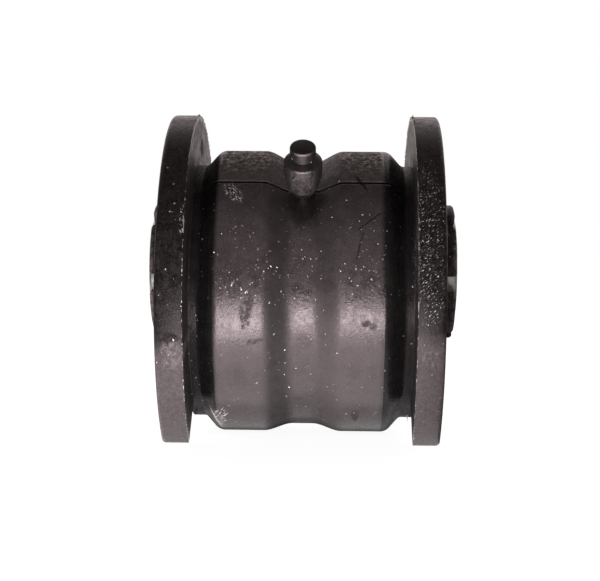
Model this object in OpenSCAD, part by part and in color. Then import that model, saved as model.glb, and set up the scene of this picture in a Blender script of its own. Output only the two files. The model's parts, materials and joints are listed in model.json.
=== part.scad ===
// Control arm bushing: a double-lobed rubber body moulded round a steel bolt sleeve.
// Millimetres. The bore runs along X with its centre at the origin, +Z is up, and the
// part is rolled to the pose in which it comes to rest on its flange corners and lobes.

/* [Bolt sleeve] */
// Length of the steel sleeve, end to end
sleeve_len = 60.7; // [57:0.1:72]
// Outside diameter of the sleeve
sleeve_d = 22; // [18:0.2:23.4]
// Bolt bore through the sleeve
bore_d = 14.2; // [10:0.1:16]
// Chamfer on the sleeve's end edges
sleeve_chamfer = 0.5; // [0.2:0.1:0.8]
// Distance from the body's axis to the bore's axis, towards the nub
bore_offset = 5.8; // [2:0.1:8]

/* [Lobed body] */
// Diameter over the two lobes
lobe_d = 57.6; // [54:0.2:62]
// Length over the two lobes at their full diameter
lobe_len = 31.6; // [28:0.2:34]
// Rounding where each lobe turns into its outer chamfer
lobe_round = 2.5; // [1:0.1:3]
// Steepness of the lobes' outer chamfers, from the axis
lobe_chamfer_deg = 48; // [40:1:60]
// Diameter of the necks between the lobes and the flanges
neck_d = 51.6; // [47:0.2:53]
// How far each neck runs past the inner face of its flange
neck_step = 0.6; // [0.4:0.1:1.2]

/* [Waist] */
// Depth of the groove between the lobes, at its mean
waist_depth = 1.85; // [1.4:0.05:2.1]
// Width of the groove's flat floor
waist_floor = 3; // [1:0.2:4]
// How far the groove's own axis lies from the body's, away from the nub
waist_shift = 0.5; // [0.2:0.1:0.7]

/* [Flanges] */
// Diameter of the flanges
flange_d = 71.9; // [67:0.1:78]
// Thickness of each flange
flange_t = 5.25; // [3.5:0.05:6]
// Clear width between the flanges, where the arm's clamp sits
flange_gap = 43.1; // [41:0.1:46]
// Distance from the body's axis to the flat that cuts each flange, opposite the nub
flange_flat = 8.1; // [5:0.1:12]
// Rounding of the two corners between the flat and the rim
flange_corner = 0.9; // [0.6:0.1:1.5]
// Rounding of each flange's outer rim edge
rim_round = 0.8; // [0.4:0.1:1.6]

/* [End pads] */
// Number of bumper pads round each sleeve end
pad_count = 6; // [4:1:8]
// Diameter over the pads
pad_d = 27; // [25:0.2:30]
// Width of the notches between the pads
notch_w = 3.7; // [2:0.1:5]
// How far the pads stop short of the sleeve's end
pad_setback = 0.3; // [0.1:0.1:0.8]
// Rounding of the pads' end edges
pad_round = 0.7; // [0.3:0.1:1.1]

/* [Locating nub] */
// Height of the nub above the floor of the groove
nub_h = 11; // [10.4:0.1:13]
// Diameter of the nub where it leaves the groove
nub_root_d = 4.4; // [3.6:0.1:5.6]
// Diameter of the nub's barrel
nub_d = 7.4; // [6.2:0.1:8.4]
// Height over which the root swells into the barrel
nub_swell_h = 6.2; // [4:0.1:7]
// Height of the cap that stands on the nub's shoulder
cap_h = 2.65; // [1.6:0.05:3.2]
// Diameter of the cap
cap_d = 5; // [4:0.1:5.8]
// Rounding of the cap's top edge
cap_round = 0.4; // [0.3:0.1:1.3]
// Steepness of the shoulder under the cap, from the nub's axis
shoulder_deg = 53; // [45:1:70]

/* [Hidden] */
$fn = 128;

lobe_r = lobe_d / 2;
flange_r = flange_d / 2;
sleeve_r = sleeve_d / 2;
flange_out = flange_gap / 2 + flange_t;

// Centre of the rounding at each corner of a flange's flat
corner_reach = flange_r - flange_corner;
corner_drop = flange_flat - flange_corner;
corner_side = sqrt(corner_reach * corner_reach - corner_drop * corner_drop);

// The part lies on its two lobes and on one corner of each flange
corner_from_down = acos((lobe_r - flange_corner) / corner_reach);
corner_from_flat = acos(corner_drop / corner_reach);
lean = corner_from_flat - corner_from_down;

// The groove: a concave arc, then a convex one that flattens to a shallow lip
waist_r = lobe_r - waist_depth;
waist_arc = 3 * waist_depth;
waist_slope = 30;
waist_lip = 12;
arc_steps = 8;

// How far features run into or past their neighbours for a clean joint
sink = 2;
waist_reach = waist_shift + sink / 2;

function arc(cx, cy, r, a0, a1) =
    [for (i = [0 : arc_steps]) let (a = a0 + (a1 - a0) * i / arc_steps) [cx + r * cos(a), cy + r * sin(a)]];

function mirrored(points) = [for (i = [len(points) - 1 : -1 : 0]) [points[i].x, -points[i].y]];

// Turns a profile of (radius, place along the axis) about the X axis
module turned(points) rotate([0, 90, 0]) rotate_extrude() polygon(points);

// Puts what is built with the bore at the origin and the nub upwards into the rest pose
module at_rest() rotate([lean, 0, 0]) children();

module on_body_axis() translate([0, 0, -bore_offset]) children();

// Neck, outer chamfer and full-diameter stretch of both lobes, not yet waisted
module barrel() {
    lobe_end = lobe_len / 2;
    neck_end = flange_gap / 2 + neck_step;
    corner = arc(lobe_r - lobe_round, lobe_end, lobe_round, lobe_chamfer_deg, 0);
    chamfer_drop = corner[0].x - neck_d / 2;
    chamfer_foot = corner[0].y + chamfer_drop / tan(lobe_chamfer_deg);
    half = concat([[0, neck_end], [neck_d / 2, neck_end], [neck_d / 2, chamfer_foot]], corner);
    turned(concat(half, mirrored(half)));
}

// Ring that is cut away between the lobes
module waist_ring() {
    concave = arc(waist_r + waist_arc, waist_floor / 2, waist_arc, 180, 180 - waist_slope);
    foot = concave[arc_steps];
    crest_r = foot.x - waist_arc * cos(waist_slope);
    crest_x = foot.y + waist_arc * sin(waist_slope);
    convex = arc(crest_r, crest_x, waist_arc, -waist_slope, -waist_lip);
    lip = convex[arc_steps];
    outside = lobe_r + waist_reach;
    lip_end = [outside, lip.y + (outside - lip.x) / tan(waist_lip)];
    half = concat([lip_end, lip], [for (i = [arc_steps - 1 : -1 : 0]) convex[i]],
                  [for (i = [arc_steps - 1 : -1 : 0]) concave[i]]);
    translate([0, 0, -waist_shift]) turned(concat(half, mirrored(half)));
}

// What is cut from one corner of a flange to round it, from just inside the rim to just above the flat
module corner_waste() {
    ease = 10;
    from = -atan2(corner_drop, corner_side) - ease;
    to = ease - 90;
    bend = arc(corner_side, -corner_drop, flange_corner, from, to);
    past_rim = bend[0] + sink * [-sin(from), cos(from)];
    past_flat = bend[arc_steps] + sink * [sin(to), -cos(to)];
    far = [flange_r + sink, -flange_flat - sink];
    rotate([90, 0, 90]) linear_extrude(flange_out + sink) polygon(concat([past_rim], bend, [past_flat, far]));
}

// Disc with one rounded rim edge, cut by the flat on the side away from the nub
module flange() {
    rim = arc(flange_r - rim_round, flange_out - rim_round, rim_round, 0, 90);
    difference() {
        turned(concat([[0, flange_gap / 2], [flange_r, flange_gap / 2]], rim, [[0, flange_out]]));
        translate([0, -flange_d, -flange_flat - flange_d]) cube([flange_out + sink, 2 * flange_d, flange_d]);
        corner_waste();
        mirror([0, 1, 0]) corner_waste();
    }
}

// Ring of bumper pads round one sleeve end, with a notch in line with the nub
module pads() {
    pad_r = pad_d / 2;
    pad_end = sleeve_len / 2 - pad_setback;
    edge = arc(pad_r - pad_round, pad_end - pad_round, pad_round, 0, 90);
    difference() {
        turned(concat([[0, flange_out - sink], [pad_r, flange_out - sink]], edge, [[0, pad_end]]));
        for (i = [0 : pad_count - 1])
            rotate([i * 360 / pad_count, 0, 0])
                translate([flange_out, -notch_w / 2, 0]) cube([sleeve_len, notch_w, pad_d]);
    }
}

// Peg that stands in the groove on the body's parting plane
module nub() {
    root_r = nub_root_d / 2;
    nub_r = nub_d / 2;
    cap_r = cap_d / 2;
    floor_h = waist_r - waist_shift;
    swell = nub_r - root_r;
    swell_r = (swell * swell + nub_swell_h * nub_swell_h) / (2 * swell);
    swell_from = -asin(nub_swell_h / swell_r);
    shoulder_top = nub_h - cap_h;
    shoulder_foot = shoulder_top - (nub_r - cap_r) / tan(shoulder_deg);
    side = arc(nub_r - swell_r, nub_swell_h, swell_r, swell_from, 0);
    top = arc(cap_r - cap_round, nub_h - cap_round, cap_round, 0, 90);
    translate([0, 0, floor_h]) rotate_extrude()
        polygon(concat([[0, -sink], [root_r, -sink]], side,
                       [[nub_r, shoulder_foot], [cap_r, shoulder_top]], top, [[0, nub_h]]));
}

module rubber_body() {
    color([0.17, 0.15, 0.155]) at_rest() difference() {
        union() {
            on_body_axis() {
                difference() {
                    barrel();
                    waist_ring();
                }
                flange();
                mirror([1, 0, 0]) flange();
                nub();
            }
            pads();
            mirror([1, 0, 0]) pads();
        }
        rotate([0, 90, 0]) cylinder(d = sleeve_d, h = sleeve_len + 2 * sink, center = true);
    }
}

module inner_sleeve() {
    end = sleeve_len / 2;
    bore_r = bore_d / 2;
    half = [[bore_r, end - sleeve_chamfer], [bore_r + sleeve_chamfer, end],
            [sleeve_r - sleeve_chamfer, end], [sleeve_r, end - sleeve_chamfer]];
    color([0.62, 0.61, 0.6]) turned(concat(half, mirrored(half)));
}

rubber_body();
inner_sleeve();
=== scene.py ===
import json
import math

import bmesh
import bpy
import numpy as np
from mathutils import Matrix, Vector

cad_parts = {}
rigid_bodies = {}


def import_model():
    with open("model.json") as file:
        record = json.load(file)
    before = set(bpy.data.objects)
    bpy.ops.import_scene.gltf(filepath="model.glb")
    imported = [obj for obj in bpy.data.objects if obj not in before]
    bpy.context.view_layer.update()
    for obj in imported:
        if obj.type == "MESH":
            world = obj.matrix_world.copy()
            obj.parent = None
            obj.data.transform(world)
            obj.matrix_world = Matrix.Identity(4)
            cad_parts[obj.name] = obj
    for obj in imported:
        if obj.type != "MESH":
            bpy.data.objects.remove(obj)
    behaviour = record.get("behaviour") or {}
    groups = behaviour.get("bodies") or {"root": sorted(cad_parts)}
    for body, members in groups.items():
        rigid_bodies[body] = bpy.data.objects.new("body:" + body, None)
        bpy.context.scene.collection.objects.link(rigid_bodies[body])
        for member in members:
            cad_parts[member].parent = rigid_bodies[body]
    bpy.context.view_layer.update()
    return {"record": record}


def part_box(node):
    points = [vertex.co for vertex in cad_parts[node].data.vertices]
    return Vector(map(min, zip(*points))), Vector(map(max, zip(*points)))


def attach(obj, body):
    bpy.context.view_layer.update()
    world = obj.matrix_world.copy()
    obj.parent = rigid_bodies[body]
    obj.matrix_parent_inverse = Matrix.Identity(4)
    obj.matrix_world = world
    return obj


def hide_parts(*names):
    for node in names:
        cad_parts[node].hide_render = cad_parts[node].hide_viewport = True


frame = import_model()
mm = 0.001
sharpFrom = math.radians(30)    # edges that bend more than this look sharp
noiseSpan = (0.3, 0.7)          # most of a noise lies between these
square = ((-1, -1), (1, -1), (1, 1), (-1, 1))

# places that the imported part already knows
mounts = {m["name"]: m for m in frame["record"]["mounts"]}
bodyAxis = Vector(mounts["clamp_seat"]["pos_m"])        # centre of lobes and flanges
nubDir = Vector(mounts["locating_nub"]["axis"]).normalized()
alongDir = Vector((1, 0, 0))
backDir = nubDir.cross(alongDir).normalized()           # square to the parting plane, backwards
bodyLow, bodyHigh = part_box("rubber_body")
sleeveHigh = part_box("inner_sleeve")[1]
floorZ = bodyLow.z
flangeR = bodyHigh.z - bodyAxis.z
lobeR = bodyAxis.z - bodyLow.z
sleeveR = sleeveHigh.z
sleeveEnd = sleeveHigh.x
padEnd = bodyHigh.x
boreR = mounts["bolt_bore"]["dims"]["r_mm"] * mm
print("frame: lobes %.1f mm, flanges %.1f mm" % (2 * lobeR / mm, 2 * flangeR / mm))


# mesh helpers
def onBody(x, across, out):
    return bodyAxis + alongDir * x + backDir * across + nubDir * out


def onBore(x, across, out):
    return alongDir * x + backDir * across + nubDir * out


def arcPoints(cx, cy, r, fromDeg, toDeg, steps):
    turns = [math.radians(fromDeg + (toDeg - fromDeg) * i / steps) for i in range(steps + 1)]
    return [(cx + r * math.cos(a), cy + r * math.sin(a)) for a in turns]


def mirrored(half):
    return [(-x, r) for x, r in reversed(half)]


# rows over a rounded edge: place along the bore, and inset from the full outline
def roundedEdge(end, inward, radius, degrees):
    turns = np.radians(degrees)
    return [(end + inward * radius * (1 - math.sin(a)), radius * (1 - math.cos(a))) for a in turns]


def smoothStep(t):
    t = np.clip(t, 0, 1)
    return t * t * (3 - 2 * t)


def newObject(name, points, faces):
    mesh = bpy.data.meshes.new(name)
    mesh.from_pydata([tuple(p) for p in points], [], faces)
    mesh.validate()
    made = bpy.data.objects.new(name, mesh)
    bpy.context.scene.collection.objects.link(made)
    return made


def ringFaces(rows, columns, closeEnds=True):
    faces = []
    for r in range(rows - 1):
        for c in range(columns):
            n = (c + 1) % columns
            faces.append((r * columns + c, r * columns + n, (r + 1) * columns + n, (r + 1) * columns + c))
    if closeEnds:
        faces.append(tuple(range(columns - 1, -1, -1)))
        faces.append(tuple((rows - 1) * columns + c for c in range(columns)))
    return faces


def outward(piece):
    work = bmesh.new()
    work.from_mesh(piece.data)
    bmesh.ops.remove_doubles(work, verts=work.verts, dist=1e-7)
    bmesh.ops.recalc_face_normals(work, faces=work.faces)
    work.to_mesh(piece.data)
    work.free()
    return piece


def turnedOnBore(name, outline, columns, closeEnds=True):
    turns = [2 * math.pi * c / columns for c in range(columns)]
    points = [onBore(x, r * math.sin(a), r * math.cos(a)) for x, r in outline for a in turns]
    return outward(newObject(name, points, ringFaces(len(outline), columns, closeEnds)))


def asPlainMesh(piece):
    seen = piece.evaluated_get(bpy.context.evaluated_depsgraph_get())
    plain = bpy.data.meshes.new_from_object(seen)
    piece.modifiers.clear()
    piece.data = plain
    return piece


def combine(base, others, operation):
    group = bpy.data.collections.new("operands")
    for other in others:
        group.objects.link(other)
    cut = base.modifiers.new("combine", "BOOLEAN")
    cut.operand_type = "COLLECTION"
    cut.collection = group
    cut.operation = operation
    cut.solver = "EXACT"
    asPlainMesh(base)
    for other in others:
        bpy.data.objects.remove(other)
    bpy.data.collections.remove(group)
    return base


def shadeSmooth(piece):
    piece.data.shade_smooth()
    piece.data.set_sharp_from_angle(angle=sharpFrom)


# node helpers
def feed(tree, socket, value):
    if isinstance(value, bpy.types.NodeSocket):
        tree.links.new(value, socket)
    else:
        socket.default_value = value


def calc(tree, operation, a, b=0.0):
    made = tree.nodes.new("ShaderNodeMath")
    made.operation = operation
    feed(tree, made.inputs[0], a)
    feed(tree, made.inputs[1], b)
    return made.outputs[0]


def chain(tree, operation, values):
    result = values[0]
    for value in values[1:]:
        result = calc(tree, operation, result, value)
    return result


def times(tree, *values):
    return chain(tree, "MULTIPLY", values)


def total(tree, *values):
    return chain(tree, "ADD", values)


def highest(tree, *values):
    return chain(tree, "MAXIMUM", values)


def without(tree, mask):
    return calc(tree, "SUBTRACT", 1.0, mask)


def vectorCalc(tree, operation, a, b):
    made = tree.nodes.new("ShaderNodeVectorMath")
    made.operation = operation
    feed(tree, made.inputs[0], a)
    feed(tree, made.inputs["Scale" if operation == "SCALE" else 1], b)
    return made.outputs["Value" if operation == "DOT_PRODUCT" else 0]


def combineXyz(tree, x, y, z):
    made = tree.nodes.new("ShaderNodeCombineXYZ")
    for socket, value in zip(made.inputs, (x, y, z)):
        feed(tree, socket, value)
    return made.outputs[0]


def ramp(tree, value, low, high, lowTo=0.0, highTo=1.0):
    made = tree.nodes.new("ShaderNodeMapRange")
    made.interpolation_type = "SMOOTHSTEP"
    labels = ("Value", "From Min", "From Max", "To Min", "To Max")
    for label, given in zip(labels, (value, low, high, lowTo, highTo)):
        feed(tree, made.inputs[label], given)
    return made.outputs["Result"]


# a noise spread from one level to another
def vary(tree, value, lowTo, highTo):
    return ramp(tree, value, *noiseSpan, lowTo, highTo)


# at its level close to the centre, fading to nothing
def near(tree, value, centre, fullWithin, noneBeyond, level=1.0):
    away = calc(tree, "ABSOLUTE", calc(tree, "SUBTRACT", value, centre))
    return ramp(tree, away, fullWithin, noneBeyond, level, 0.0)


def blendNumber(tree, amount, a, b):
    made = tree.nodes.new("ShaderNodeMix")
    made.data_type = "FLOAT"
    feed(tree, made.inputs[0], amount)
    feed(tree, made.inputs[2], a)
    feed(tree, made.inputs[3], b)
    return made.outputs[0]


def blendColour(tree, amount, a, b, mode="MIX"):
    made = tree.nodes.new("ShaderNodeMix")
    made.data_type = "RGBA"
    made.blend_type = mode
    feed(tree, made.inputs[0], amount)
    feed(tree, made.inputs[6], a if isinstance(a, bpy.types.NodeSocket) else (*a, 1))
    feed(tree, made.inputs[7], b if isinstance(b, bpy.types.NodeSocket) else (*b, 1))
    return made.outputs[2]


def shaded(tree, colour, shade):
    return blendColour(tree, 1.0, colour, combineXyz(tree, shade, shade, shade), "MULTIPLY")


def noise(tree, point, scale, detail=2.0, roughness=0.5, output=0):
    made = tree.nodes.new("ShaderNodeTexNoise")
    feed(tree, made.inputs["Vector"], point)
    made.inputs["Scale"].default_value = scale
    made.inputs["Detail"].default_value = detail
    made.inputs["Roughness"].default_value = roughness
    return made.outputs[output]


def newFinish(name):
    finish = bpy.data.materials.new(name)
    finish.use_nodes = True
    tree = finish.node_tree
    return finish, tree, tree.nodes["Principled BSDF"]


def addBump(tree, shader, height, strength, distance):
    bump = tree.nodes.new("ShaderNodeBump")
    bump.inputs["Strength"].default_value = strength
    bump.inputs["Distance"].default_value = distance
    tree.links.new(height, bump.inputs["Height"])
    tree.links.new(bump.outputs[0], shader.inputs["Normal"])


# geometry tree with named inputs, and the identifiers to set them by
def newTree(name, inputs):
    tree = bpy.data.node_groups.new(name, "GeometryNodeTree")
    ids = {}
    for label, kind in inputs:
        socket = tree.interface.new_socket(label, in_out="INPUT", socket_type="NodeSocket" + kind)
        ids[label] = socket.identifier
    tree.interface.new_socket("Geometry", in_out="OUTPUT", socket_type="NodeSocketGeometry")
    return tree, ids, tree.nodes.new("NodeGroupInput").outputs


# last steps of a tree: copies on points, made real, with their finish
def copyOnto(tree, given, points, shape, rotation, size=(1.0, 1.0, 1.0)):
    copies = tree.nodes.new("GeometryNodeInstanceOnPoints")
    wanted = {"Points": points, "Instance": shape, "Rotation": rotation, "Scale": size}
    for label, value in wanted.items():
        feed(tree, copies.inputs[label], value)
    real = tree.nodes.new("GeometryNodeRealizeInstances")
    tree.links.new(copies.outputs[0], real.inputs[0])
    paint = tree.nodes.new("GeometryNodeSetMaterial")
    tree.links.new(real.outputs[0], paint.inputs["Geometry"])
    tree.links.new(given["Finish"], paint.inputs["Material"])
    tree.links.new(paint.outputs[0], tree.nodes.new("NodeGroupOutput").inputs[0])


def runTree(piece, tree, ids, values):
    made = piece.modifiers.new(tree.name, "NODES")
    made.node_group = tree
    for label, value in values.items():
        made[ids[label]] = value
    return asPlainMesh(piece)


# double-lobed barrel with its waist and parting line
barrel = {
    "gap": 43.1 * mm,           # clear width between the flanges
    "neckStep": 0.6 * mm,       # how far each neck runs past its flange's inner face
    "neckR": 25.8 * mm,
    "lobeLen": 31.6 * mm,
    "lobeRound": 2.5 * mm,
    "chamferDeg": 48,
    "footRound": 1.0 * mm,
    "waistDepth": 1.85 * mm,
    "waistShift": 0.5 * mm,     # deeper by this beside the nub, shallower opposite
    "waistFloor": 2.0 * mm,     # half width of the flat floor
    "waistHalf": 7.9 * mm,
    "columns": 288,
    "flatRows": 46,
    "cornerSteps": 10,
    "footSteps": 6,
    "seamDepth": 0.5 * mm,
    "seamWidth": 0.22 * mm,
    "seamEnd": 17.0 * mm,       # the parting line fades out towards the necks
    "seamFade": 1.0 * mm,
    "seamColumns": (0.06, 0.12, 0.19, 0.27, 0.37, 0.5, 0.7),    # mm to both sides of the parting line
}


def barrelOutline():
    b = barrel
    end = b["gap"] / 2 + b["neckStep"]
    half = b["lobeLen"] / 2
    corner = arcPoints(half, lobeR - b["lobeRound"], b["lobeRound"],
                       90, 90 - b["chamferDeg"], b["cornerSteps"])
    slope = math.tan(math.radians(b["chamferDeg"]))
    foot = corner[-1][0] + (corner[-1][1] - b["neckR"]) / slope
    reach = b["footRound"] * math.tan(math.radians(b["chamferDeg"] / 2))
    footArc = arcPoints(foot + reach, b["neckR"] + b["footRound"], b["footRound"],
                        270 - b["chamferDeg"], 270, b["footSteps"])
    flat = [(x, lobeR) for x in np.linspace(0, half, b["flatRows"])[:-1]]
    right = flat + corner + footArc + [(end, b["neckR"])]
    return mirrored(right[1:]) + right


def makeBarrel():
    b = barrel
    even = np.arange(b["columns"]) * 2 * math.pi / b["columns"]
    fine = np.array(b["seamColumns"]) * mm / lobeR
    seams = np.concatenate([side + np.concatenate([-fine, fine]) for side in (0, math.pi)])
    turns = np.sort(np.mod(np.concatenate([even, seams]), 2 * math.pi))
    points = []
    outline = barrelOutline()
    for x, r in outline:
        groove = 1 - smoothStep((abs(x) - b["waistFloor"]) / (b["waistHalf"] - b["waistFloor"]))
        depth = (b["waistDepth"] + b["waistShift"] * np.cos(turns)) * groove
        off = np.abs(np.mod(turns + math.pi / 2, math.pi) - math.pi / 2) * r
        fade = 1 - smoothStep((abs(x) - b["seamEnd"]) / b["seamFade"])
        seam = b["seamDepth"] * fade * np.exp(-(off / b["seamWidth"]) ** 2)
        radius = r - depth - seam
        for turn, rr in zip(turns, radius):
            points.append(onBody(x, rr * math.sin(turn), rr * math.cos(turn)))
    return outward(newObject("barrel", points, ringFaces(len(outline), len(turns))))


# D-shaped flange: a disc with a flat opposite the nub
flange = {
    "thick": 5.25 * mm,
    "flat": 8.1 * mm,           # from the body's axis
    "corner": 0.9 * mm,
    "rimRound": 0.8 * mm,       # outer rim edge
    "innerRound": 0.12 * mm,    # inner rim edge
    "columns": 300,
    "cornerSteps": 8,
    "flatSteps": 60,
    "innerRows": 4,
    "rimRows": 8,
}


def flangeOutline(inset):
    f = flange
    reach = flangeR - f["corner"]
    drop = f["flat"] - f["corner"]
    side = math.sqrt(reach * reach - drop * drop)
    lowDeg = math.degrees(math.atan2(-drop, side))
    big = arcPoints(0, 0, flangeR - inset, lowDeg, 180 - lowDeg, f["columns"])
    small = f["corner"] - inset
    left = arcPoints(-side, -drop, small, 180 - lowDeg, 270, f["cornerSteps"])
    right = arcPoints(side, -drop, small, 270, 360 + lowDeg, f["cornerSteps"])
    steps = f["flatSteps"]
    bottom = [(-side + 2 * side * i / steps, -drop - small) for i in range(1, steps)]
    return big + left[1:] + bottom + right[:-1]


def makeFlange(side):
    f = flange
    inner = barrel["gap"] / 2
    outer = inner + f["thick"]
    rows = roundedEdge(inner, 1, f["innerRound"], np.linspace(90, 0, f["innerRows"]))
    rows += roundedEdge(outer, -1, f["rimRound"], np.linspace(0, 90, f["rimRows"]))
    points = []
    for x, inset in rows:
        points += [onBody(side * x, across, out) for across, out in flangeOutline(inset)]
    columns = len(flangeOutline(0))
    name = "flangeRight" if side > 0 else "flangeLeft"
    return outward(newObject(name, points, ringFaces(len(rows), columns)))


# locating nub on the parting plane
nub = {
    "height": 11.0 * mm,
    "sink": 2.0 * mm,           # how far its root runs into the waist
    "rootR": 2.2 * mm,
    "barrelR": 3.7 * mm,
    "swell": 6.2 * mm,          # height at which the barrel reaches its full radius
    "edge": 0.45 * mm,          # rounding of the shoulder's rim
    "shoulderDeg": 53,
    "capR": 2.5 * mm,
    "capHeight": 2.65 * mm,
    "capRound": 0.38 * mm,
    "capDeg": 84,               # the rounding stops short of level and meets the dome
    "dome": 0.12 * mm,
    "domeRings": (0.75, 0.5, 0.25),
    "neckGroove": 0.14 * mm,
    "neckLow": 0.1 * mm,        # top of the groove's floor above the shoulder
    "neckHigh": 0.25 * mm,      # where the groove ends
    "columns": 96,
    "swellSteps": 14,
    "edgeSteps": 6,
    "capSteps": 10,
}


def nubOutline():
    n = nub
    swell = n["barrelR"] - n["rootR"]
    swellR = (swell ** 2 + n["swell"] ** 2) / (2 * swell)
    start = -math.degrees(math.asin(n["swell"] / swellR))
    slope = math.radians(n["shoulderDeg"])
    shoulderTop = n["height"] - n["capHeight"]
    shoulderFoot = shoulderTop - (n["barrelR"] - n["capR"]) / math.tan(slope)
    trim = n["edge"] * math.tan(slope / 2)
    side = arcPoints(n["barrelR"] - swellR, n["swell"], swellR, start, 0, n["swellSteps"])
    edge = arcPoints(n["barrelR"] - n["edge"], shoulderFoot - trim, n["edge"],
                     0, n["shoulderDeg"], n["edgeSteps"])
    throat = n["capR"] - n["neckGroove"]
    neck = [(throat, shoulderTop), (throat, shoulderTop + n["neckLow"]),
            (n["capR"], shoulderTop + n["neckHigh"])]
    rim = arcPoints(n["capR"] - n["capRound"], n["height"] - n["dome"] - n["capRound"], n["capRound"],
                    0, n["capDeg"], n["capSteps"])
    inner = rim[-1][0]
    crown = [(inner * k, n["height"] - n["dome"] * k * k) for k in n["domeRings"]]
    return [(n["rootR"], -n["sink"])] + side + edge + neck + rim + crown


def makeNub():
    floorR = lobeR - barrel["waistDepth"] - barrel["waistShift"]
    columns = nub["columns"]
    outline = nubOutline()
    points = []
    for r, h in outline:
        for c in range(columns):
            turn = 2 * math.pi * c / columns
            points.append(onBody(r * math.cos(turn), r * math.sin(turn), floorR + h))
    return outward(newObject("nub", points, ringFaces(len(outline), columns)))


# bumper pads round the sleeve ends
pads = {
    "count": 6,
    "outerR": 13.5 * mm,
    "notch": 3.7 * mm,
    "round": 0.6 * mm,
    "roundDegs": (30, 60, 90),
    "sink": 1.0 * mm,           # how far they run into the flange
    "overlap": 0.4 * mm,        # and into the hole, which is cut later
    "steps": 14,
}


def onePad(side):
    p = pads
    base = barrel["gap"] / 2 + flange["thick"] - p["sink"]
    inner = sleeveR - p["overlap"]
    pitch = 2 * math.pi / p["count"]
    steps = p["steps"]
    layers = [(base, 0), (padEnd - p["round"], 0)] + roundedEdge(padEnd, -1, p["round"], p["roundDegs"])
    points = []
    for x, inset in layers:
        outR = p["outerR"] - inset
        half = p["notch"] / 2 + inset
        outHalf = pitch / 2 - math.asin(half / outR)
        inHalf = pitch / 2 - math.asin(half / inner)
        loop = [(outR, outHalf * (2 * i / steps - 1)) for i in range(steps + 1)]
        loop += [(inner, inHalf * (1 - 2 * i / steps)) for i in range(steps + 1)]
        for r, a in loop:
            turn = a + pitch / 2
            points.append(onBore(side * x, r * math.sin(turn), r * math.cos(turn)))
    return outward(newObject("pad", points, ringFaces(len(layers), 2 * (steps + 1))))


def makePads(side, finish):
    inputs = (("Geometry", "Geometry"), ("Count", "Int"), ("Finish", "Material"))
    tree, ids, given = newTree("padsRoundSleeve", inputs)
    places = tree.nodes.new("GeometryNodeMeshLine")
    places.mode = "OFFSET"
    places.inputs["Offset"].default_value = (0, 0, 0)
    tree.links.new(given["Count"], places.inputs["Count"])
    index = tree.nodes.new("GeometryNodeInputIndex").outputs[0]
    turn = times(tree, index, calc(tree, "DIVIDE", 2 * math.pi, given["Count"]))
    copyOnto(tree, given, places.outputs[0], given["Geometry"], combineXyz(tree, turn, 0.0, 0.0))
    return runTree(onePad(side), tree, ids, {"Count": pads["count"], "Finish": finish})


# steel sleeve, and the hole for it
sleeve = {
    "chamfer": 0.5 * mm,
    "columns": 160,
}


def makeHole():
    right = [(2 * sleeveEnd, sleeveR)]
    return turnedOnBore("hole", mirrored(right) + right, sleeve["columns"])


def makeSleeve():
    c = sleeve["chamfer"]
    right = [(sleeveEnd - c, sleeveR), (sleeveEnd, sleeveR - c),
             (sleeveEnd, boreR + c), (sleeveEnd - c, boreR)]
    left = mirrored(right)
    return turnedOnBore("innerSleeve", left + right + left[:1], sleeve["columns"], closeEnds=False)


# places on the moulding: mm along the bore, across and out from the body's axis, degrees from the nub
def surfacePlace(tree):
    coords = tree.nodes.new("ShaderNodeTexCoord")
    fromAxis = vectorCalc(tree, "SUBTRACT", coords.outputs["Object"], bodyAxis)
    point = vectorCalc(tree, "SCALE", fromAxis, 1 / mm)
    place = {"point": point}
    for name, direction in (("along", alongDir), ("across", backDir), ("out", nubDir)):
        place[name] = vectorCalc(tree, "DOT_PRODUCT", point, direction)
    squares = [calc(tree, "POWER", place[name], 2.0) for name in ("across", "out")]
    place["radius"] = calc(tree, "SQRT", total(tree, *squares))
    place["turn"] = calc(tree, "DEGREES", calc(tree, "ARCTAN2", place["across"], place["out"]))
    place["ring"] = times(tree, place["turn"], math.radians(lobeR / mm))
    place["side"] = calc(tree, "ABSOLUTE", place["along"])
    return place


# soft ragged spot centred at a place along the bore and a turn from the nub, half sizes in mm and degrees
def spot(tree, place, ragged, along, turn, halfAlong, halfTurn, raggedBy,
         slant=0.0, core=0.75, edge=1.15):
    awayAlong = calc(tree, "SUBTRACT", place["along"], along)
    awayTurn = calc(tree, "SUBTRACT", place["turn"], turn)
    if slant:
        awayAlong = calc(tree, "SUBTRACT", awayAlong, times(tree, awayTurn, slant))
    a = calc(tree, "POWER", calc(tree, "DIVIDE", awayAlong, halfAlong), 2.0)
    b = calc(tree, "POWER", calc(tree, "DIVIDE", awayTurn, halfTurn), 2.0)
    reach = calc(tree, "SQRT", total(tree, a, b))
    shift = times(tree, calc(tree, "SUBTRACT", ragged, 0.5), raggedBy * 2)
    return ramp(tree, total(tree, reach, shift), core, edge, 1.0, 0.0)


# short broken strokes across the surface, turned by so many degrees from the bore's direction
def strokes(tree, place, slantDeg, narrow, long, low, high):
    c, s = math.cos(math.radians(slantDeg)), math.sin(math.radians(slantDeg))
    along, ring = place["along"], place["ring"]
    lengthwise = total(tree, times(tree, along, c * long), times(tree, ring, s * long))
    crosswise = calc(tree, "SUBTRACT", times(tree, ring, c * narrow), times(tree, along, s * narrow))
    grain = noise(tree, combineXyz(tree, lengthwise, crosswise, 0.0), scale=1.0, roughness=0.6)
    return ramp(tree, grain, low, high)


# the same place pushed about by coloured noise, which makes round cells ragged
def warped(tree, point, scale, amount):
    push = noise(tree, point, scale, detail=1.0, output=1)
    return vectorCalc(tree, "ADD", vectorCalc(tree, "SCALE", push, amount), point)


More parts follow.
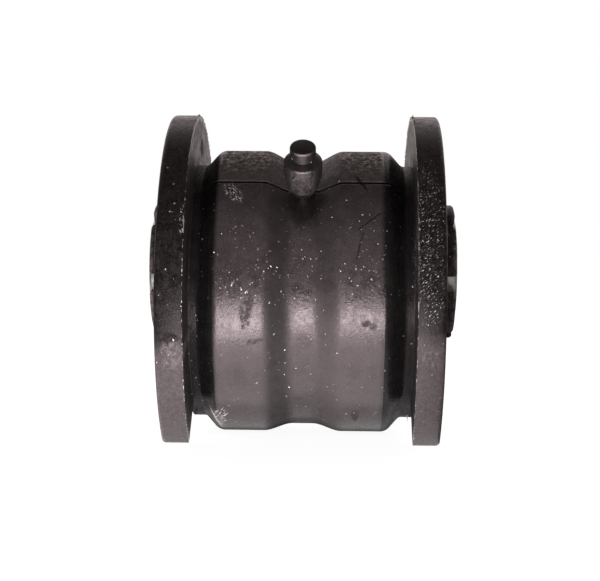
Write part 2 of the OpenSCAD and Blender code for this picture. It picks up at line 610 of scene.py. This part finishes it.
# bits of dust: ragged balls about cell points, of which a share is kept by chance
def specks(tree, point, area, scale, smallest, largest, shareInArea, shareElsewhere):
    cells = tree.nodes.new("ShaderNodeTexVoronoi")
    tree.links.new(point, cells.inputs["Vector"])
    cells.inputs["Scale"].default_value = scale
    split = tree.nodes.new("ShaderNodeSeparateColor")
    tree.links.new(cells.outputs["Color"], split.inputs[0])
    sizeChance, keepChance, levelChance = split.outputs
    size = ramp(tree, sizeChance, 0.0, 1.0, smallest, largest)
    inside = ramp(tree, calc(tree, "DIVIDE", cells.outputs["Distance"], size), *marks["speckEdge"])
    share = total(tree, times(tree, area, shareInArea), shareElsewhere)
    kept = calc(tree, "LESS_THAN", keepChance, share)
    level = ramp(tree, levelChance, *marks["speckLevel"])
    return times(tree, inside, kept, level)


# black moulded rubber
rubber = {
    "front": (0.040, 0.031, 0.0325),
    "back": (0.072, 0.055, 0.051),      # mould half behind the parting line
    "paintedShade": (0.010, 0.0088, 0.0088),    # painted shade on chamfers, necks, the waist's flanks and the nub; smears reuse it
    "rim": (0.015, 0.0123, 0.0125),
    "face": (0.018, 0.0148, 0.0148),    # inner sides of the flanges
    "end": (0.052, 0.043, 0.043),       # outer sides of the flanges
    "pads": (0.075, 0.063, 0.063),
    # also painted shade in the parting line's groove
    "cut": (0.003, 0.0027, 0.0027),
    "paleFilmAndLight": (0.275, 0.222, 0.228),     # pale film, and painted light on the rims, the pads' edges, the nub and the lobes' tops
    "scuff": (0.78, 0.74, 0.72),
    "dust": (0.88, 0.84, 0.82),
    "noises": {                         # waves a mm, detail, roughness
        "cloud": (0.09, 3.0, 0.5),
        "mottle": (0.45, 4.0, 0.6),
        "blot": (1.1, 4.0, 0.65),
        "pebble": (1.9, 3.0, 0.6),
        "fine": (3.4, 3.0, 0.65),
        "grit": (8.0, 2.0, 0.6),
    },
    "streak": (1.0, 4.0, 0.65),
    "streakAlong": 2.4,                 # waves a mm along the bore
    "streakRound": 0.12,                # and round it
    "shadeBy": {"cloud": (0.86, 1.14), "mottle": (0.84, 1.16), "fine": (0.8, 1.2), "grit": (0.66, 1.34)},
    "rimShade": (0.65, 1.35),
    # levels of painted highlight and light on the rims
    "rimHighlightLevel": 0.42,
    "rimTopLight": (0.09, 0.22),
    "rimLowLight": (0.17, 0.29),
    "rimEdgeHighlight": (0.18, 0.40),
    "rubbedFilm": 0.4,
    "smearDark": 0.75,
    "scratchPale": 0.9,
    "lobeRough": 0.26,
    "roughAt": {"flange": 0.42, "rim": 0.28, "chamfer": 0.24, "nub": 0.45},
    "flankRough": {"leftFlank": 0.7, "rightFlank": 0.52},
    "smearMatt": 0.9,
    "smearRough": 0.75,
    "markRough": 0.85,
    "roughBy": {"mottle": (-0.07, 0.08), "blot": (-0.06, 0.08), "grit": (-0.06, 0.06)},
    "specular": 0.6,
    "dullSpecular": 0.13,               # beyond the lobes, where the mould left the skin matt
    "dullFrom": 16.15 * mm,
    "dullShift": 0.45 * mm,             # the matt skin begins further out on the left
    "shine": (1.0, 0.82, 0.85),
    "fineGrain": 0.45,
    "streakGrain": 0.15,
    "pebbleGrain": (0.9, 2.2),          # in front of the parting line, behind it
    "gritGrain": (0.1, 0.3),            # lobes, rims
    "markGrain": 1.2,
    "grain": 0.09 * mm,
    "bump": 0.6,
}

# noise at which patches start and are full, then the levels if they aren't 0 and 1
patches = {
    "roughShade": (0.32, 0.68, 0.62, 1.38),     # flanges and the mould half behind
    "backRough": (0.32, 0.68, 0.35, 0.85),
    "streakFilm": (0.55, 0.8, 0.0, 0.05),
    "streakRough": (0.4, 0.75, 0.0, 0.05),
    # painted light on the nub, painted highlights on the pads' edges and the rims
    "nubLight": (0.38, 0.6, 0.02, 0.15),
    "padHighlight": (0.42, 0.58, 0.1, 0.7),
    "rimHighlight": (0.35, 0.6),
    "smears": (0.36, 0.56, 0.3, 1.0),
    "endSmears": (0.54, 0.66, 0.0, 0.8),
    "clumps": (0.38, 0.62, 0.25, 1.0),
}

# where the finish changes, in mm, or in degrees from the nub
zones = {
    # from here to there, then the levels if they aren't 0 and 1
    "rimRadius": (34.6, 35.4),
    "rimSide": (20.5, 21.3),
    "flange": (21.3, 21.5),
    "end": (26.4, 26.7),
    "pads": (26.9, 27.2),
    # painted highlight along the pads' outer edges
    "padHighlight": (29.1, 29.7),
    "nubSide": (4.2, 3.8),
    "nubRadius": (27.2, 28.2),
    "chamfer": (15.2, 16.4),
    "behind": (0.0, 0.35),
    "seamEnd": (18.5, 17.0),
    # painted shade on the waist's flanks fades out over these turns
    "leftFlankTurn": (-62.0, -42.0, 0.95, 0.72),
    "rightFlankTurn": (-60.0, -40.0),
    # painted light on the nub's front, and where its painted highlight lines lie
    "nubFront": (2.0, 2.7, 1.0, 0.0),
    "nubFrontTop": (33.9, 33.5),
    "nubLineSide": (0.7, 1.9, 0.5, 0.0),
    "nubLineFront": (-1.4, -2.0),
    # painted light and highlights on the rims' lower parts, tops and outer edges
    "rimLow": (-59.5, -66.0),
    "rimTop": (-30.0, 26.0),
    "rimEdge": (25.4, 26.5),
    "rimEdgeTop": (-25.0, 5.0),
    # painted light, paler up the barrel
    "paintedUpperLight": (-50.0, -20.0, 0.0, 0.08),
    # centre, full within, none beyond, level
    # painted shadow beside the nub
    "besideNub": (5.2, 0.8, 3.0, 0.85),
    # painted shade in the parting line's groove
    "seam": (-0.16, 0.3, 0.55),
    # leftFlank and rightFlank: painted shade on the waist's flanks
    "leftFlank": (-4.5, 1.0, 3.6),
    "rightFlank": (5.0, 0.4, 4.2, 0.55),
    "rightSlope": (5.0, 1.0, 4.0),
    # painted highlights on the cap's rim and the shoulder's foot
    "capHighlight": (37.05, 0.1, 0.3),
    "footHighlight": (33.8, 0.1, 0.28),
    "faceSmear": (29.6, 0.6, 2.4),
    # a spot, as in the marks below: painted shadow under the nub
    "underNub": (0.5, -8.0, 7.0, 15.0, 0.25, 0.0, 0.3),
    # single values
    "chamferShift": 0.5,        # the chamfers' painted shade starts further out on the left
    "chamferKeeps": 0.9,
    # the nub's share of painted shade
    "nubShade": 0.95,
    "nubWaver": 1.6,            # mm by which the nub's painted light runs in and out
    "rimSkew": 0.08,            # degrees a mm by which the low painted light differs between the rims
}

# marks of handling, and painted highlights on the rims: along mm, turn from the nub, half length mm, half
# turn, raggedness, slant, core
marks = {
    "smears": [
        (-10.2, -53.0, 1.1, 9.0, 1.1, 0.06),
        (-8.6, -66.6, 1.5, 1.3, 1.5, 0.5),
        (12.3, -59.2, 0.9, 1.5, 0.9),
        (13.6, -60.2, 0.7, 1.6, 0.9),
        (10.5, -104.5, 0.8, 4.2, 1.5),
        (-23.8, -61.2, 1.7, 1.6, 0.8),
    ],
    "faceSmear": [(-21.6, 44.0, 1.0, 6.0, 1.2)],
    "cuts": [
        (13.0, -19.0, 0.26, 4.9, 0.4, 0.58),
        (11.3, -0.5, 0.45, 4.8, 0.5, -0.26),
        (10.9, -30.0, 0.16, 6.0, 0.5, 0.12),
    ],
    "lobeScratches": [(-13.4, -6.0, 1.6, 5.4, 0.3, -0.22)],
    "rimScratches": [(-21.9, -26.0, 0.5, 4.6, 0.4)],
    "chamferScratches": [(-15.9, -107.5, 1.6, 7.5, 0.7)],
    "chamferLine": [(-16.9, -111.0, 0.26, 8.0, 1.2, -0.12)],
    "rubbed": [(-16.9, -112.0, 1.7, 8.5, 0.9)],
    # painted highlights on the lower rims
    "rimHighlights": [(-23.7, -67.0, 2.4, 5.6, 0.8), (24.2, -67.0, 2.4, 3.6, 0.8)],
    "dusty": [
        (-11.0, -36.0, 5.5, 19.0, 0.5),
        (0.0, -38.0, 4.5, 19.0, 0.5),
        (11.5, -37.0, 5.0, 19.0, 0.5),
        (23.8, -32.0, 2.6, 27.0, 0.4),
    ],
    "rightRim": [(23.8, -32.0, 2.8, 28.0, 0.4)],
    # slant in degrees, strokes a mm across and along, noise at which they start and are full
    "lobeStrokes": (-52.0, 4.0, 1.5, 0.555, 0.595),
    "chamferStrokes": (58.0, 3.2, 0.5, 0.56, 0.61),
    "fibres": (35.0, 5.0, 1.7, 0.63, 0.68),
    # cells a mm, smallest and largest bit, share in the dusty area, share elsewhere
    "grains": (3.2, 0.2, 0.5, 0.05, 0.012),
    "bits": (1.5, 0.08, 0.28, 0.17, 0.026),
    "rimBits": (2.6, 0.1, 0.29, 0.34, 0.0),
    "speckEdge": (0.7, 1.0, 1.0, 0.0),
    "speckLevel": (0.0, 0.7, 0.4, 1.0),
    "warp": (2.6, 0.6),                 # waves a mm, mm
    "levels": {"rimScratches": 0.6, "chamferScratches": 0.8, "grains": 0.5, "rimBits": 0.75,
               "fibres": 0.7},
}


def rubberNoises(tree, place):
    r = rubber
    made = {name: noise(tree, place["point"], *size) for name, size in r["noises"].items()}
    streakPoint = combineXyz(tree, times(tree, place["along"], r["streakAlong"]),
                             times(tree, place["ring"], r["streakRound"]), place["radius"])
    made["streak"] = noise(tree, streakPoint, *r["streak"])
    return made


# where on the moulding
def rubberZones(tree, place, noises):
    z = zones
    along, across, out = place["along"], place["across"], place["out"]
    side, radius, turn = place["side"], place["radius"], place["turn"]
    blot = noises["blot"]

    def over(value, name):
        return ramp(tree, value, *zones[name])

    def beside(value, name):
        return near(tree, value, *zones[name])

    onRim = times(tree, over(radius, "rimRadius"), over(side, "rimSide"))
    onFlange = over(side, "flange")
    onBarrel = without(tree, onFlange)
    onNub = times(tree, over(side, "nubSide"), over(radius, "nubRadius"))
    offNub = without(tree, onNub)
    uneven = calc(tree, "ABSOLUTE", total(tree, along, z["chamferShift"]))
    onChamfer = times(tree, onBarrel, over(uneven, "chamfer"))
    offChamfer = without(tree, times(tree, onChamfer, z["chamferKeeps"]))
    behind = times(tree, onBarrel, offNub, over(across, "behind"), offChamfer)
    besideNub = times(tree, beside(along, "besideNub"), behind)
    seam = times(tree, beside(across, "seam"), over(side, "seamEnd"), offNub)

    # painted shade on the waist's flanks, and painted shadow under the nub
    leftFlank = times(tree, beside(along, "leftFlank"), over(turn, "leftFlankTurn"))
    rightFlank = times(tree, beside(along, "rightFlank"), over(turn, "rightFlankTurn"))
    flanks = times(tree, highest(tree, leftFlank, rightFlank), onBarrel)
    underNub = spot(tree, place, noises["mottle"], *z["underNub"])
    paintedShade = highest(tree, onChamfer, flanks, underNub, times(tree, onNub, z["nubShade"]))

    # painted light on the nub: a paler front, with painted highlight lines on the cap's rim and the
    # shoulder's foot
    waver = times(tree, calc(tree, "SUBTRACT", blot, 0.5), z["nubWaver"])
    nubSide = total(tree, side, waver)
    nubFront = times(tree, onNub, over(nubSide, "nubFront"), over(out, "nubFrontTop"),
                     ramp(tree, blot, *patches["nubLight"]))
    nubHighlights = highest(tree, beside(out, "capHighlight"), beside(out, "footHighlight"))
    nubHighlights = times(tree, nubHighlights, onNub, over(nubSide, "nubLineSide"), over(across, "nubLineFront"))

    # painted light and highlights on the rims, the pads' edges and the lobes' tops
    rimTurn = calc(tree, "SUBTRACT", turn, times(tree, along, z["rimSkew"]))
    rimLow = times(tree, onRim, over(rimTurn, "rimLow"))
    rimEdgeTop = times(tree, onRim, over(turn, "rimEdgeTop"))
    padHighlight = times(tree, over(side, "padHighlight"), ramp(tree, blot, *patches["padHighlight"]))
    return {
        "rim": onRim,
        "flange": onFlange,
        "end": over(side, "end"),
        "pads": over(side, "pads"),
        "nub": onNub,
        "chamfer": onChamfer,
        "behind": behind,
        "besideNub": besideNub,
        "seam": seam,
        "leftFlank": times(tree, leftFlank, onBarrel),
        "rightFlank": times(tree, beside(along, "rightSlope"), onBarrel),
        "paintedShade": paintedShade,
        "nubLight": highest(tree, nubFront, nubHighlights),
        "rimLow": rimLow,
        "rimTop": times(tree, onRim, over(turn, "rimTop")),
        "rimEdge": times(tree, over(side, "rimEdge"), highest(tree, rimLow, rimEdgeTop)),
        "padHighlight": padHighlight,
        "paintedUpperLight": times(tree, over(turn, "paintedUpperLight"), onBarrel, without(tree, paintedShade)),
    }


def rubberMarks(tree, place, noises, zone):
    m = marks
    level = m["levels"]
    blot, mottle, fine, cloud = [noises[name] for name in ("blot", "mottle", "fine", "cloud")]

    def marked(name, ragged):
        return highest(tree, *[spot(tree, place, ragged, *placing) for placing in m[name]])

    faceSmear = times(tree, near(tree, place["radius"], *zones["faceSmear"]), marked("faceSmear", blot))
    endSmears = times(tree, zone["end"], ramp(tree, mottle, *patches["endSmears"]))
    smears = highest(tree, marked("smears", blot), faceSmear, endSmears)
    smears = times(tree, smears, ramp(tree, noises["pebble"], *patches["smears"]))
    # cuts, with painted shade in the parting line's groove
    cuts = highest(tree, marked("cuts", fine), zone["seam"])

    rimScratches = times(tree, marked("rimScratches", mottle), zone["rim"], level["rimScratches"])
    scratched = highest(tree, marked("lobeScratches", mottle), rimScratches)
    scratches = times(tree, strokes(tree, place, *m["lobeStrokes"]), scratched)
    chamferMarks = times(tree, strokes(tree, place, *m["chamferStrokes"]),
                         marked("chamferScratches", mottle))
    chamferMarks = highest(tree, chamferMarks, marked("chamferLine", fine))
    scratches = highest(tree, scratches, times(tree, chamferMarks, level["chamferScratches"]))

    dusty = marked("dusty", cloud)
    rightRim = marked("rightRim", cloud)
    clumps = times(tree, rightRim, ramp(tree, mottle, *patches["clumps"]))
    ragged = warped(tree, place["point"], *m["warp"])
    grains = specks(tree, ragged, dusty, *m["grains"])
    bits = specks(tree, ragged, dusty, *m["bits"])
    rimBits = specks(tree, ragged, clumps, *m["rimBits"])
    fibres = times(tree, strokes(tree, place, *m["fibres"]), rightRim)
    dust = highest(tree, times(tree, grains, level["grains"]), bits,
                   times(tree, rimBits, level["rimBits"]), times(tree, fibres, level["fibres"]))
    return {
        "smears": smears,
        "cuts": cuts,
        "scratches": scratches,
        "rubbed": marked("rubbed", blot),
        "rimHighlight": times(tree, marked("rimHighlights", blot), ramp(tree, blot, *patches["rimHighlight"])),
        "dust": dust,
        "rough": highest(tree, bits, rimBits, scratches, cuts),
    }


def rubberColour(tree, noises, zone, mark):
    r = rubber
    fine, pebble, blot = noises["fine"], noises["pebble"], noises["blot"]
    # painted shade: chamfers, necks, the waist's flanks, the nub, and beside and under the nub
    colour = blendColour(tree, zone["paintedShade"], r["front"], r["paintedShade"])
    for name, tone in (("flange", "face"), ("end", "end"), ("pads", "pads"), ("rim", "rim"),
                       ("behind", "back"), ("besideNub", "paintedShade")):
        colour = blendColour(tree, zone[name], colour, r[tone])

    shade = times(tree, *[vary(tree, noises[name], *span) for name, span in r["shadeBy"].items()])
    rimShade = blendNumber(tree, zone["rim"], 1.0, vary(tree, fine, *r["rimShade"]))
    rougher = highest(tree, zone["behind"], zone["flange"])
    roughShade = blendNumber(tree, rougher, 1.0, ramp(tree, blot, *patches["roughShade"]))
    colour = shaded(tree, colour, times(tree, shade, rimShade, roughShade))

    # pale streaks and rubbed wear, with painted light on the rims, the pads' edges, the nub and the
    # lobes' tops
    filmAndLight = highest(
        tree,
        ramp(tree, noises["streak"], *patches["streakFilm"]),
        times(tree, mark["rimHighlight"], r["rimHighlightLevel"]),
        times(tree, zone["rimTop"], vary(tree, fine, *r["rimTopLight"])),
        times(tree, zone["rimLow"], vary(tree, pebble, *r["rimLowLight"])),
        times(tree, zone["rimEdge"], vary(tree, pebble, *r["rimEdgeHighlight"])),
        times(tree, mark["rubbed"], r["rubbedFilm"]),
        zone["padHighlight"],
        zone["nubLight"],
        zone["paintedUpperLight"],
    )
    colour = blendColour(tree, filmAndLight, colour, r["paleFilmAndLight"])
    # smears, darkened with the painted shade's colour
    colour = blendColour(tree, times(tree, mark["smears"], r["smearDark"]), colour, r["paintedShade"])
    colour = blendColour(tree, mark["cuts"], colour, r["cut"])
    colour = blendColour(tree, times(tree, mark["scratches"], r["scratchPale"]), colour, r["scuff"])
    return blendColour(tree, mark["dust"], colour, r["dust"])


def rubberGloss(tree, noises, zone, mark):
    r = rubber
    rough = r["lobeRough"]
    for name, level in r["roughAt"].items():
        rough = blendNumber(tree, zone[name], rough, level)
    rough = blendNumber(tree, zone["behind"], rough, ramp(tree, noises["blot"], *patches["backRough"]))
    for name, level in r["flankRough"].items():
        rough = blendNumber(tree, zone[name], rough, level)
    rough = total(tree, rough, *[vary(tree, noises[name], *span) for name, span in r["roughBy"].items()])
    rough = total(tree, rough, ramp(tree, noises["streak"], *patches["streakRough"]))
    rough = blendNumber(tree, times(tree, mark["smears"], r["smearMatt"]), rough, r["smearRough"])
    return blendNumber(tree, mark["rough"], rough, r["markRough"])


def rubberGrain(tree, noises, zone, mark):
    r = rubber
    return total(
        tree,
        times(tree, noises["fine"], r["fineGrain"]),
        times(tree, noises["streak"], r["streakGrain"]),
        times(tree, noises["pebble"], blendNumber(tree, zone["behind"], *r["pebbleGrain"])),
        times(tree, noises["grit"], blendNumber(tree, zone["rim"], *r["gritGrain"])),
        times(tree, calc(tree, "SUBTRACT", mark["dust"], mark["cuts"]), r["markGrain"]),
    )


def rubberMaterial(name, specular):
    finish, tree, shader = newFinish(name)
    shader.inputs["Specular IOR Level"].default_value = specular
    shader.inputs["Specular Tint"].default_value = (*rubber["shine"], 1)
    place = surfacePlace(tree)
    noises = rubberNoises(tree, place)
    zone = rubberZones(tree, place, noises)
    mark = rubberMarks(tree, place, noises, zone)
    tree.links.new(rubberColour(tree, noises, zone, mark), shader.inputs["Base Color"])
    tree.links.new(rubberGloss(tree, noises, zone, mark), shader.inputs["Roughness"])
    addBump(tree, shader, rubberGrain(tree, noises, zone, mark), rubber["bump"], rubber["grain"])
    return finish


# drawn steel of the sleeve
steel = {
    "bright": (0.72, 0.70, 0.68),
    "stained": (0.09, 0.075, 0.062),
    "stain": (0.5, 0.66, 0.0, 0.7),     # noise at which it starts and is full, then its levels
    "stains": 160.0,                    # waves a metre
    "lines": (120, 2600, 2600),         # and those of the drawing lines
    "lineShade": (0.86, 1.06),
    "rough": (0.37, 0.55),
    "stainRough": (0.5, 0.75, 0.0, 0.2),
    "grain": 0.02 * mm,
    "bump": 0.4,
}


def steelMaterial():
    s = steel
    finish, tree, shader = newFinish("drawnSteel")
    shader.inputs["Metallic"].default_value = 1
    coords = tree.nodes.new("ShaderNodeTexCoord")
    stretch = tree.nodes.new("ShaderNodeMapping")
    tree.links.new(coords.outputs["Object"], stretch.inputs["Vector"])
    stretch.inputs["Scale"].default_value = s["lines"]
    lines = noise(tree, stretch.outputs[0], scale=1.0, detail=4.0, roughness=0.6)
    stain = noise(tree, coords.outputs["Object"], s["stains"], detail=4.0, roughness=0.6)
    colour = blendColour(tree, ramp(tree, stain, *s["stain"]), s["bright"], s["stained"])
    colour = shaded(tree, colour, vary(tree, lines, *s["lineShade"]))
    tree.links.new(colour, shader.inputs["Base Color"])
    rough = total(tree, vary(tree, lines, *s["rough"]), ramp(tree, stain, *s["stainRough"]))
    tree.links.new(rough, shader.inputs["Roughness"])
    addBump(tree, shader, lines, s["bump"], s["grain"])
    return finish


rubberFinish = rubberMaterial("mouldedRubber", rubber["specular"])
dullFinish = rubberMaterial("dullRubber", rubber["dullSpecular"])
steelFinish = steelMaterial()
print("finishes made")

body = makeBarrel()
parts = [makeFlange(1), makeFlange(-1), makeNub(), makePads(1, rubberFinish), makePads(-1, rubberFinish)]
body = combine(body, parts, "UNION")
body = combine(body, [makeHole()], "DIFFERENCE")
body.name = "rubberBody"
body.data.materials.clear()
body.data.materials.append(rubberFinish)
body.data.materials.append(dullFinish)
for face in body.data.polygons:
    face.material_index = 1 if abs(face.center.x + rubber["dullShift"]) > rubber["dullFrom"] else 0
shadeSmooth(body)
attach(body, "root")
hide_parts("rubber_body")
print("rubber body: %d faces" % len(body.data.polygons))

tube = makeSleeve()
tube.data.materials.append(steelFinish)
shadeSmooth(tube)
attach(tube, "root")
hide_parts("inner_sleeve")
print("sleeve: %d faces" % len(tube.data.polygons))

# thin moulding flash: torn beads along the flanges' inner rims, and a few loose slivers
flash = {
    "count": 420,
    "seed": 7,
    "bead": 0.13 * mm,
    "reachDeg": 100,            # beads lie this far round to both sides of the nub
    "inset": 0.04 * mm,         # of their centres, from the rim
    "step": 0.03 * mm,          # of their centres, from the flange's inner face
    "thin": (0.3, 0.9),         # stretch across the rim
    "long": (0.4, 3.2),         # stretch along the rim
    "dark": (0.06, 0.051, 0.051),
    "pale": (0.42, 0.385, 0.375),
    "patches": (0.4, 0.62),     # noise at which the pale starts and is full
    "waves": 700.0,             # of that noise, a metre
    "rough": 0.75,
    "slivers": [                # along mm, turn from the nub, radius mm, length mm, width mm
        (21.7, 24.0, 36.0, 0.9, 0.45),
        (21.7, 31.0, 36.0, 0.6, 0.40),
        (-21.7, 35.0, 36.0, 0.4, 0.45),
        (-21.6, -97.0, 36.0, 0.5, 0.30),
        (21.6, -96.0, 36.0, 0.5, 0.30),
        (-21.3, -118.0, 25.9, 1.1, 0.28),
        (21.2, -121.0, 25.9, 1.5, 0.30),
        (-2.5, -1.0, 26.5, 0.6, 0.35),
        (2.7, -1.0, 26.5, 0.6, 0.35),
    ],
    "sliverRows": 5,
    "sliverSink": 0.1,          # mm
    "sliverLean": 0.8,
    "sliverCurl": 0.25,
    "sliverThick": 0.06,        # mm to both sides
    "taper": 0.85,
    "thinning": 0.6,
}


def flashMaterial():
    finish, tree, shader = newFinish("tornFlash")
    coords = tree.nodes.new("ShaderNodeTexCoord")
    torn = noise(tree, coords.outputs["Object"], flash["waves"], detail=3.0, roughness=0.6)
    colour = blendColour(tree, ramp(tree, torn, *flash["patches"]), flash["dark"], flash["pale"])
    tree.links.new(colour, shader.inputs["Base Color"])
    shader.inputs["Roughness"].default_value = flash["rough"]
    return finish


def makeRimFlash(finish):
    inputs = (("Count", "Int"), ("Seed", "Int"), ("Bead", "Float"), ("Radius", "Float"),
              ("Place", "Float"), ("Finish", "Material"))
    tree, ids, given = newTree("flashAlongRims", inputs)

    def chance(low, high, offset):
        made = tree.nodes.new("FunctionNodeRandomValue")
        made.data_type = "FLOAT"
        made.inputs[2].default_value = low
        made.inputs[3].default_value = high
        tree.links.new(total(tree, given["Seed"], offset), made.inputs["Seed"])
        return made.outputs[1]

    reach = math.radians(flash["reachDeg"])
    turn = chance(-reach, reach, 0)
    side = calc(tree, "SIGN", chance(-1, 1, 1))
    sine = calc(tree, "SINE", turn)
    cosine = calc(tree, "COSINE", turn)
    across = vectorCalc(tree, "SCALE", backDir, times(tree, sine, given["Radius"]))
    out = vectorCalc(tree, "SCALE", nubDir, times(tree, cosine, given["Radius"]))
    along = vectorCalc(tree, "SCALE", alongDir, times(tree, side, given["Place"]))
    centre = vectorCalc(tree, "ADD", vectorCalc(tree, "ADD", across, out), bodyAxis)
    tangent = vectorCalc(tree, "ADD", vectorCalc(tree, "SCALE", backDir, cosine),
                         vectorCalc(tree, "SCALE", nubDir, times(tree, sine, -1.0)))
    points = tree.nodes.new("GeometryNodePoints")
    tree.links.new(given["Count"], points.inputs["Count"])
    tree.links.new(vectorCalc(tree, "ADD", centre, along), points.inputs["Position"])
    align = tree.nodes.new("FunctionNodeAlignRotationToVector")
    align.axis = "Z"
    tree.links.new(tangent, align.inputs["Vector"])
    bead = tree.nodes.new("GeometryNodeMeshIcoSphere")
    bead.inputs["Subdivisions"].default_value = 1
    tree.links.new(given["Bead"], bead.inputs["Radius"])
    size = combineXyz(tree, chance(*flash["thin"], 2), chance(*flash["thin"], 3),
                      chance(*flash["long"], 4))
    copyOnto(tree, given, points.outputs[0], bead.outputs["Mesh"], align.outputs[0], size)
    return runTree(newObject("rimFlash", [(0, 0, 0)], []), tree, ids, {
        "Count": flash["count"],
        "Seed": flash["seed"],
        "Bead": flash["bead"],
        "Radius": flangeR - flash["inset"],
        "Place": barrel["gap"] / 2 + flash["step"],
        "Finish": finish,
    })


def makeSlivers(finish):
    f = flash
    rows = f["sliverRows"]
    points, faces = [], []
    for number, (along, turnDeg, radius, length, width) in enumerate(f["slivers"]):
        turn = math.radians(turnDeg)
        out = backDir * math.sin(turn) + nubDir * math.cos(turn)
        tangent = backDir * math.cos(turn) - nubDir * math.sin(turn)
        foot = onBody(along * mm, 0, 0) + out * (radius - f["sliverSink"]) * mm
        lean = (tangent * (1 if number % 2 else -1) + out * f["sliverLean"]).normalized()
        first = len(points)
        for row in range(rows):
            t = row / (rows - 1)
            middle = foot + lean * length * t * mm + out * f["sliverCurl"] * length * t * t * mm
            half = width * (1 - f["taper"] * t) * mm / 2
            thin = f["sliverThick"] * (1 - f["thinning"] * t) * mm
            for a, b in square:
                points.append(middle + alongDir * half * a + lean.cross(alongDir) * thin * b)
        for face in ringFaces(rows, len(square)):
            faces.append(tuple(first + k for k in face))
    made = newObject("flashSlivers", points, faces)
    made.data.materials.append(finish)
    return outward(made)


flashFinish = flashMaterial()
for thin in (makeRimFlash(flashFinish), makeSlivers(flashFinish)):
    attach(thin, "root")
    print("%s: %d faces" % (thin.name, len(thin.data.polygons)))

# studio: pale floor, bright panels lying on it in front, white sweep behind
studio = {
    "floorSize": 6.0,
    "floorColour": (0.62, 0.62, 0.62),
    "floorRough": 0.9,
    "floorLift": 0.93,          # what the camera sees of the floor beyond the light on it
    "behind": 1.0,              # light from the sweep behind
    "ahead": 0.06,              # light from the room in front
    "backward": (0.18, 0.86),   # direction from which the front gives way to the sweep
    "aside": 0.4,               # light from both sides
    "sideward": (0.55, 0.95),   # direction from which the side light starts and is full
    "roomTint": (1.0, 0.9, 0.88),
    "panelLift": 0.05 * mm,
    "panels": [                 # centre x, near y, far y, width, level
        (-20 * mm, -54 * mm, -185 * mm, 14 * mm, 14.5),
        (4.5 * mm, -64 * mm, -174 * mm, 35 * mm, 14.5),
        (-38 * mm, -30 * mm, -56 * mm, 130 * mm, 2.4),
        (-38 * mm, -14 * mm, -30 * mm, 130 * mm, 1.7),
        (-38 * mm, -3 * mm, -14 * mm, 130 * mm, 0.7),
        (0 * mm, 25 * mm, -3 * mm, 90 * mm, 0.2),
    ],
}


def makeFloor():
    half = studio["floorSize"] / 2
    corners = [(half * x, half * y, floorZ) for x, y in square]
    ground = newObject("floor", corners, [(0, 1, 2, 3)])
    pale, tree, shader = newFinish("paleFloor")
    shader.inputs["Base Color"].default_value = (*studio["floorColour"], 1)
    shader.inputs["Roughness"].default_value = studio["floorRough"]
    shader.inputs["Emission Color"].default_value = (1, 1, 1, 1)
    toCamera = tree.nodes.new("ShaderNodeLightPath").outputs["Is Camera Ray"]
    tree.links.new(times(tree, toCamera, studio["floorLift"]), shader.inputs["Emission Strength"])
    ground.data.materials.append(pale)


def makePanel(name, x, nearY, farY, width, level):
    lamp = bpy.data.lights.new(name, "AREA")
    lamp.shape = "RECTANGLE"
    lamp.size = width
    lamp.size_y = nearY - farY
    lamp.energy = level * math.pi * lamp.size * lamp.size_y
    holder = bpy.data.objects.new(name, lamp)
    bpy.context.scene.collection.objects.link(holder)
    centre = Matrix.Translation((x, (nearY + farY) / 2, floorZ + studio["panelLift"]))
    holder.matrix_world = centre @ Matrix.Rotation(math.pi, 4, "X")
    holder.visible_camera = False


def makeWorld():
    room = bpy.data.worlds.new("studio")
    bpy.context.scene.world = room
    room.use_nodes = True
    tree = room.node_tree
    coords = tree.nodes.new("ShaderNodeTexCoord")
    parts = tree.nodes.new("ShaderNodeSeparateXYZ")
    tree.links.new(coords.outputs["Generated"], parts.inputs[0])
    level = ramp(tree, parts.outputs["Y"], *studio["backward"], studio["ahead"], studio["behind"])
    sideways = calc(tree, "ABSOLUTE", parts.outputs["X"])
    level = highest(tree, level, ramp(tree, sideways, *studio["sideward"], 0.0, studio["aside"]))
    toCamera = tree.nodes.new("ShaderNodeLightPath").outputs["Is Camera Ray"]
    sky = tree.nodes["Background"]
    tint = blendColour(tree, toCamera, studio["roomTint"], (1, 1, 1))
    tree.links.new(tint, sky.inputs["Color"])
    tree.links.new(blendNumber(tree, toCamera, level, 1.0), sky.inputs["Strength"])


makeFloor()
for number, panel in enumerate(studio["panels"]):
    makePanel("frontPanel%d" % number, *panel)
makeWorld()
print("studio: %d panels" % len(studio["panels"]))

# camera where the photograph was taken from
view = {
    "pixel": 0.2072 * mm,       # size of a pixel at the body's axis
    "away": 1407,               # this and the next three in those pixels
    "right": 30.4,
    "aim": -4.3,
    "aimUp": 0.4,
    "tiltDeg": 2.1,
    "rollDeg": 0.52,
    "imageWidth": 600,
    "sensor": 36,
    "clip": (0.01, 100),
}


def makeCamera():
    v = view
    tilt = math.radians(v["tiltDeg"])
    back = Vector((0, -math.cos(tilt), math.sin(tilt)))
    place = bodyAxis + alongDir * v["right"] * v["pixel"] + back * v["away"] * v["pixel"]
    aim = bodyAxis + (alongDir * v["aim"] + Vector((0, 0, 1)) * v["aimUp"]) * v["pixel"]
    eye = bpy.data.cameras.new("photoCamera")
    eye.sensor_width = v["sensor"]
    eye.lens = v["sensor"] * v["away"] / v["imageWidth"]
    eye.clip_start, eye.clip_end = v["clip"]
    holder = bpy.data.objects.new("photoCamera", eye)
    bpy.context.scene.collection.objects.link(holder)
    turn = (aim - place).to_track_quat("-Z", "Y").to_matrix().to_4x4()
    roll = Matrix.Rotation(math.radians(v["rollDeg"]), 4, "Z")
    holder.matrix_world = Matrix.Translation(place) @ turn @ roll
    bpy.context.scene.camera = holder


makeCamera()
bpy.context.scene.view_settings.view_transform = "Standard"
